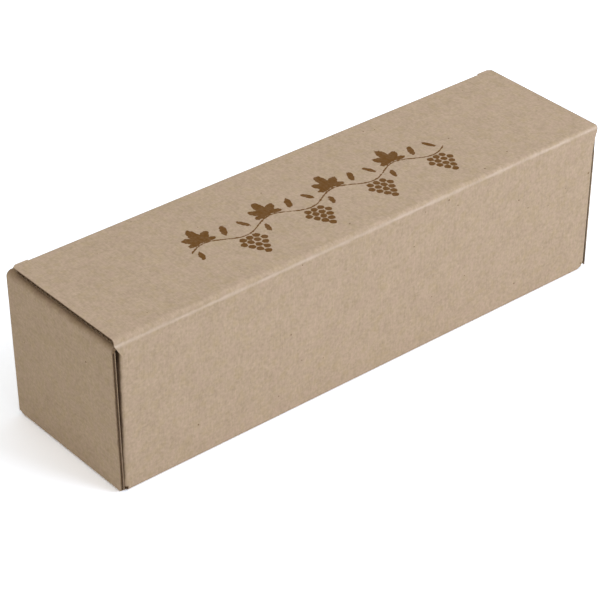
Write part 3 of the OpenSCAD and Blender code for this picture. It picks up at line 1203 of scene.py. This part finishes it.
@dataclass
class HingeBead(Liner):
    """The inner liner of the rear crease, gathered in a bead; on the real carton it opens out as the lid
    swings back.

    Args:
        half: Half the bead's length.
        bulge: How far it stands out from the crease's corner.
        thickness: The gathered paper's thickness.
        steps: How many facets it has.
    """

    half: float = 163.8 * MM
    bulge: float = 0.5 * MM
    thickness: float = 0.2 * MM
    steps: int = 12

    def build(self) -> None:
        """Gather the liner in the corner between the rear wall and the lid."""
        corner = SIZES.hinge_centre
        foot = corner - Z_AXIS * self.bulge
        centre = foot - Z_AXIS * self.bulge / 2
        bench = Bench.plane("hinge_inner_bead", centre, (2 * self.half, self.bulge), (QUARTER, 0.0, 0.0))
        bench.wind(lambda c: near(c.z, foot.z), QUARTER, self.steps, corner, X_AXIS)
        bench.pull(lambda c: near(c.z, corner.z), Y_AXIS * self.bulge)
        self.piece = bench.finish(lambda c: Y_AXIS - Z_AXIS, self.thickness)

    def dress(self) -> None:
        """Give the bead its paper and fix its place in its points."""
        self.cover("inner_liner")
        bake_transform(self.piece)


@dataclass
class Plies:
    """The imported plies, which keep their shape and get their paper.

    Args:
        nodes: The plies by name.
        panels: Which panels lie which way, by a part of their names.
    """

    nodes: dict[str, bpy.types.Object]
    panels: tuple[tuple[Lay, tuple[str, ...]], ...] = (
        (Lay.LEVEL, ("base", "roll", "lid")),
        (Lay.LONG_WALL, ("rear_wall", "front_wall", "tuck_flap")),
        (Lay.END_WALL, ("end", "return")),
        (Lay.CORNER_FLAP, ("left_flap", "right_flap")),
    )

    def lay_of(self, name: str) -> Lay:
        """Find how a ply lies, by the panel that its name holds."""
        return next(lay for lay, panels in self.panels if any(panel in name for panel in panels))

    def dress(self, outer: KraftLiner, inner: KraftLiner, medium: FlutedMedium) -> None:
        """Give every packed ply its paper.

        Args:
            outer: The liner on the carton's outside.
            inner: The liner on its inside.
            medium: The fluted paper between them.
        """
        core = medium.build()
        sheets: dict[tuple[str, Lay], bpy.types.Material] = {}
        for name, node in self.nodes.items():
            material = core
            if not name.endswith("fluting"):
                liner = outer if name.endswith("outer_liner") else inner
                lay = self.lay_of(name)
                key = (liner.name, lay)
                if key not in sheets:
                    sheets[key] = replace(liner, name=f"{liner.name}_{lay.name.lower()}", lay=lay).build()
                material = sheets[key]
            for slot in node.material_slots:
                slot.material = material


@dataclass
class Studio:
    """A white table, a big soft lamp and the camera.

    Lengths are in metres and turns in degrees. The lamp is a little cool and the room a little warm, and the
    table looks paler to the camera than to the light, so that it blends into the white room.
    """

    camera_at: Triple = (-0.72573, -0.83619, 0.75592)
    camera_turn: Triple = (56.5666, -0.4797, -40.1749)
    lens_mm: float = 141.1
    lamp_from: Triple = (0.45, -0.72, 0.68)
    lamp_far: float = 1.8
    lamp_side: float = 1.1
    lamp_power: float = 14.8
    lamp_colour: Triple = (0.94, 1.0, 1.13)
    sky: float = 0.64
    sky_colour: Triple = (1.0, 0.985, 0.95)
    table_side: float = 12.0
    table_grey: Triple = (0.8, 0.8, 0.8)
    table_seen: Triple = (1.66, 1.73, 1.84)

    def build(self) -> None:
        """Set the table, the lamp, the room and the camera."""
        self.table()
        self.lamp()
        self.room()
        turn = tuple(math.radians(angle) for angle in self.camera_turn)
        bpy.ops.object.camera_add(location=self.camera_at, rotation=turn)
        camera = bpy.context.object
        camera.data.lens = self.lens_mm
        camera.data.sensor_width = 36.0
        camera.data.clip_end = 50.0
        bpy.context.scene.camera = camera
        bpy.context.scene.view_settings.view_transform = "Standard"

    def table(self) -> None:
        """Lay the table: matt white laminate, which scatters all light evenly and shows only the shadow."""
        bpy.ops.object.select_all(action="DESELECT")
        bpy.ops.mesh.primitive_plane_add(size=self.table_side)
        floor = bpy.context.object
        floor.name = "table"
        material, tree = blank("table_matt_laminate")
        rays = add(tree, "LightPath")
        seen = add(tree, "Math", [rays["Is Camera Ray"], rays["Is Glossy Ray"]], operation="MAXIMUM")[0]
        faces = {0: seen, 6: (*self.table_grey, 1.0), 7: (*self.table_seen, 1.0)}
        colour = add(tree, "Mix", faces, data_type="RGBA")[2]
        add(tree, "OutputMaterial", [add(tree, "BsdfDiffuse", {"Color": colour})[0]])
        floor.data.materials.append(material)

    def lamp(self) -> None:
        """Hang the soft lamp."""
        away = Vector(self.lamp_from).normalized()
        turn = (-away).to_track_quat("-Z", "Y").to_euler()
        bpy.ops.object.light_add(type="AREA", location=away * self.lamp_far, rotation=turn)
        lamp = bpy.context.object.data
        lamp.shape = "SQUARE"
        lamp.size = self.lamp_side
        lamp.energy = self.lamp_power
        lamp.color = self.lamp_colour

    def room(self) -> None:
        """Fill the room with soft light, and show the camera plain white."""
        world = bpy.data.worlds.new("white_room")
        world.use_nodes = True
        tree = world.node_tree
        tree.nodes.clear()
        rays = add(tree, "LightPath")
        seen: Value = 0.0
        for ray in ("Is Camera Ray", "Is Glossy Ray", "Is Transmission Ray"):
            seen = add(tree, "Math", [rays[ray], seen], operation="MAXIMUM")[0]
        power = add(tree, "MapRange", {0: seen, 3: self.sky, 4: 1.0})[0]
        sides = {0: seen, 6: (*self.sky_colour, 1.0), 7: (1.0, 1.0, 1.0, 1.0)}
        colour = add(tree, "Mix", sides, data_type="RGBA")[2]
        add(tree, "OutputWorld", [add(tree, "Background", [colour, power])[0]])
        bpy.context.scene.world = world


def main() -> None:
    """Build the carton sheet by sheet, dress it, and set it on the table."""
    logging.basicConfig(level=logging.INFO, format="%(message)s")
    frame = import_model()
    nodes = frame["nodes"]
    s = SIZES

    # Dark brown at the lid's raw ends: partly the crushed cut edge's own colour, partly painted shade.
    rim_crush_and_shade = tuple(Crease(0, side.value * s.lid_half, 0.5 * MM, 0.85, "5A4028", patchy=0.4) for side in Side)
    # Pale along the rear and front creases: partly scuffed liner, partly a painted highlight where the folds
    # catch the light.
    hinge_scuff_and_highlight = Crease(1, s.hinge_line - s.board, 1.9 * MM, 0.55, slant=0.0085, patchy=0.5)
    front_scuff_and_highlight = Crease(1, s.front_line, 1.9 * MM, 0.5)
    # Painted shade: the paper round each corner's fold, inside the slot behind the end wall, is painted near
    # black brown.
    slot_shade = Crease(2, s.board + s.slot_shade, s.slot_shade - 0.9 * MM, 1.0, "3A250F", patchy=0.2)
    # Brown band on the end walls' rolled tops under the lid's raw ends: painted shade, partly the crushed
    # crease's own brown.
    crushed_roll_and_shade = Crease(0, s.wall_top + 0.3 * MM, 4.5 * MM, 0.5, "6A4820", patchy=0.5)
    # Near black along the end walls' raw rear edge: partly the torn paper's own dark edge, partly painted
    # shade of its open flutes.
    torn_edge_and_shade = Crease(1, -s.wall_out, 1.0 * MM, 0.9, "3A2810", patchy=0.95)

    outer = KraftLiner("kraft_outer_machine_finished", Lay.BENT)
    inner = replace(outer, name="kraft_inner_machine_finished", dark="9A846B", pale="C6AD92")
    # The end walls' paper is a slightly warmer copy of the outer paper: painted warm shade, for the warm
    # bounced light in their shadow.
    ends = replace(outer, lay=Lay.END_WALL, dark="A28C73", pale="D2BA9D", creases=(crushed_roll_and_shade, torn_edge_and_shade))
    printed = replace(
        outer,
        name="kraft_outer_flexo_printed",
        creases=(hinge_scuff_and_highlight, front_scuff_and_highlight, slot_shade, *rim_crush_and_shade),
        band=VineBand((-2.5 * MM, -7.0 * MM), s.board),
    )
    Plies(nodes).dress(outer, replace(inner, creases=rim_crush_and_shade), FlutedMedium())
    LOG.info("packed plies: %d", len(nodes))

    sheets: list[Sheet] = [
        HingedLiner(printed),
        TuckLiner(replace(outer, name="kraft_outer_tuck_flap", creases=(front_scuff_and_highlight,))),
        FrontLiner(replace(outer, name="kraft_outer_front_wall", lay=Lay.LONG_WALL)),
    ]
    for side, lean, lip, slot in ((Side.LEFT, s.left_lean, 0.0, 0.0), (Side.RIGHT, 0.0, 0.65 * MM, 1.2 * MM)):
        sheets.append(EndLiner(replace(ends, name=f"kraft_outer_{side.word}_end"), side, lean, lip))
        for panel, depth in (("end", slot), ("roll", 0.0)):
            for layer in ("fluting", "inner_liner"):
                sheets.append(DrawnPly(nodes[f"{side.word}_{panel}_{layer}"], depth))
    sheets.append(HingeBead(replace(inner, name="kraft_inner_hinge_bead", lay=Lay.LEVEL)))
    for sheet in sheets:
        sheet.build()
        sheet.dress()
        LOG.info("%s: %d faces", sheet.piece.name, len(sheet.piece.data.polygons))
    Studio().build()


if __name__ == "__main__":
    main()
